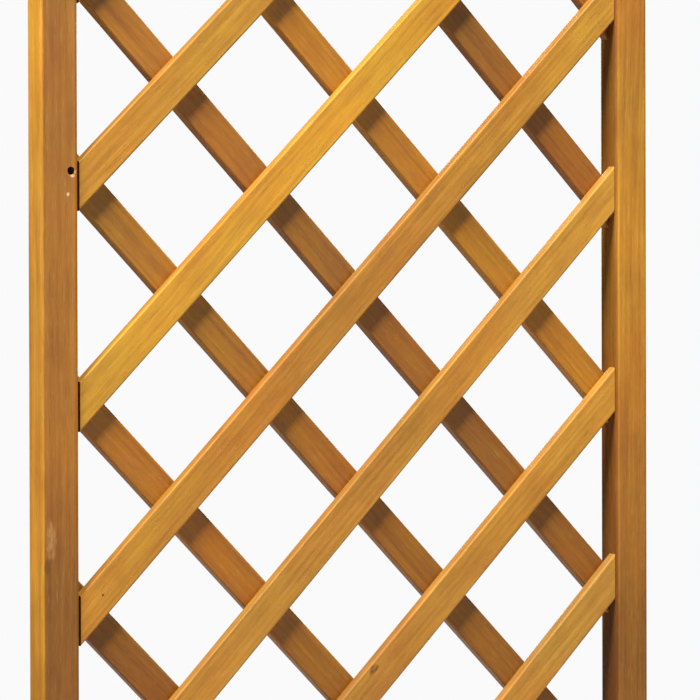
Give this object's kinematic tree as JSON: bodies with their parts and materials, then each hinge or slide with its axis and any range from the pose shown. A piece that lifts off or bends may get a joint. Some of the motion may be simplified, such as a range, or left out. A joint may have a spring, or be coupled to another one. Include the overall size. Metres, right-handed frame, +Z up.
{
  "type": "garden lattice panel",
  "caption": "Tall narrow wooden lattice panel: two uprights, two rails and two layers of crossing diagonal slats for climbing plants.",
  "frame": {"origin": "middle of the underside of the two feet", "axes": "+Z up along the uprights, +X across the panel towards the right upright, -Y out of the front face"},
  "size_m": [0.54, 0.024, 1.5],
  "materials": {
    "upright_wood": "satin",
    "rail_wood": "satin",
    "front_slat_wood": "satin",
    "back_slat_wood": "satin",
    "pin_wood": "matte",
    "zinc_steel": "satin"
  },
  "bodies": {
    "root": {"upright_left": "upright_wood", "upright_right": "upright_wood", "bottom_rail": "rail_wood", "top_rail": "rail_wood", "front_slat_01": "front_slat_wood", "front_slat_02": "front_slat_wood", "front_slat_03": "front_slat_wood", "front_slat_04": "front_slat_wood", "front_slat_05": "front_slat_wood", "front_slat_06": "front_slat_wood", "front_slat_07": "front_slat_wood", "front_slat_08": "front_slat_wood", "front_slat_09": "front_slat_wood", "front_slat_10": "front_slat_wood", "front_slat_11": "front_slat_wood", "back_slat_01": "back_slat_wood", "back_slat_02": "back_slat_wood", "back_slat_03": "back_slat_wood", "back_slat_04": "back_slat_wood", "back_slat_05": "back_slat_wood", "back_slat_06": "back_slat_wood", "back_slat_07": "back_slat_wood", "back_slat_08": "back_slat_wood", "back_slat_09": "back_slat_wood", "back_slat_10": "back_slat_wood", "back_slat_11": "back_slat_wood", "crossing_staples": "zinc_steel", "slat_end_pins": "pin_wood", "corner_dowels": "pin_wood", "corner_screws": "zinc_steel"}
  },
  "joints": []
}
